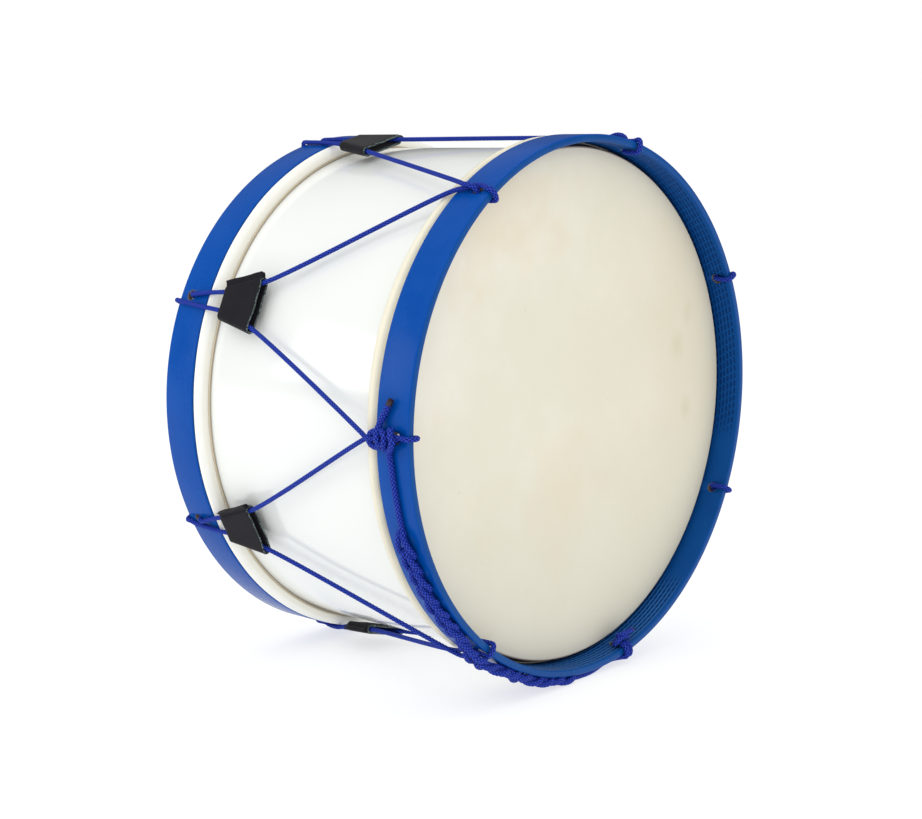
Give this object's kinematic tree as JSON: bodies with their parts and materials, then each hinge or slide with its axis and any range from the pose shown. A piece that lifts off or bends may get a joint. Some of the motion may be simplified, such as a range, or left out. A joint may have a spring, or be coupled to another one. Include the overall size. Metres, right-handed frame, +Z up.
{
  "type": "rope-tensioned two-headed drum",
  "caption": "Rope-tensioned drum lying on its side: round shell, two skins, blue counterhoops, V lacing of cord with sliding leather tugs and a looped cord strap.",
  "frame": {"origin": "under the middle of the drum, on the surface it lies on", "axes": "+Z up, +Y along the drum's axis from the front skin to the rear skin, +X to the right seen from the front"},
  "size_m": [0.3818, 0.2361, 0.3727],
  "materials": {
    "shell_lacquer": "glossy white lacquer on bent wood",
    "hoop_lacquer": "glossy blue lacquer on bent wood, pale bare wood in the lacing holes",
    "skin": "matte cream skin, faintly mottled",
    "skin_hoop": "smooth white skin lapped round a hoop",
    "cord": "braided blue cord",
    "leather": "black suede leather with pale scuffs"
  },
  "bodies": {
    "drum": {"shell": "shell_lacquer", "front_head": "skin", "rear_head": "skin", "front_flesh_hoop": "skin_hoop", "rear_flesh_hoop": "skin_hoop", "front_counterhoop": "hoop_lacquer", "rear_counterhoop": "hoop_lacquer", "start_knot": "cord", "strap_lead": "cord", "strap_chain": "cord", "strap_tail": "cord", "end_knot": "cord", "lacing_1": "cord", "lacing_2": "cord", "lacing_3": "cord", "lacing_4": "cord", "lacing_5": "cord", "lacing_6": "cord", "lacing_7": "cord"},
    "tug_body_1": {"tug_1": "leather"},
    "tug_body_2": {"tug_2": "leather"},
    "tug_body_3": {"tug_3": "leather"},
    "tug_body_4": {"tug_4": "leather"},
    "tug_body_5": {"tug_5": "leather"},
    "tug_body_6": {"tug_6": "leather"},
    "tug_body_7": {"tug_7": "leather"}
  },
  "joints": [
    {"name": "tug_1_slide", "type": "slide", "parent": "drum", "child": "tug_body_1", "axis": [0, -1, 0], "range_m": [-0.007, 0.045], "deforming": ["lacing_1"]},
    {"name": "tug_2_slide", "type": "slide", "parent": "drum", "child": "tug_body_2", "axis": [0, -1, 0], "range_m": [-0.007, 0.045], "deforming": ["lacing_2"]},
    {"name": "tug_3_slide", "type": "slide", "parent": "drum", "child": "tug_body_3", "axis": [0, -1, 0], "range_m": [-0.007, 0.045], "deforming": ["lacing_3"]},
    {"name": "tug_4_slide", "type": "slide", "parent": "drum", "child": "tug_body_4", "axis": [0, -1, 0], "range_m": [-0.007, 0.045], "deforming": ["lacing_4"]},
    {"name": "tug_5_slide", "type": "slide", "parent": "drum", "child": "tug_body_5", "axis": [0, -1, 0], "range_m": [-0.007, 0.045], "deforming": ["lacing_5"]},
    {"name": "tug_6_slide", "type": "slide", "parent": "drum", "child": "tug_body_6", "axis": [0, -1, 0], "range_m": [-0.007, 0.045], "deforming": ["lacing_6"]},
    {"name": "tug_7_slide", "type": "slide", "parent": "drum", "child": "tug_body_7", "axis": [0, -1, 0], "range_m": [-0.007, 0.045], "deforming": ["lacing_7"]}
  ]
}
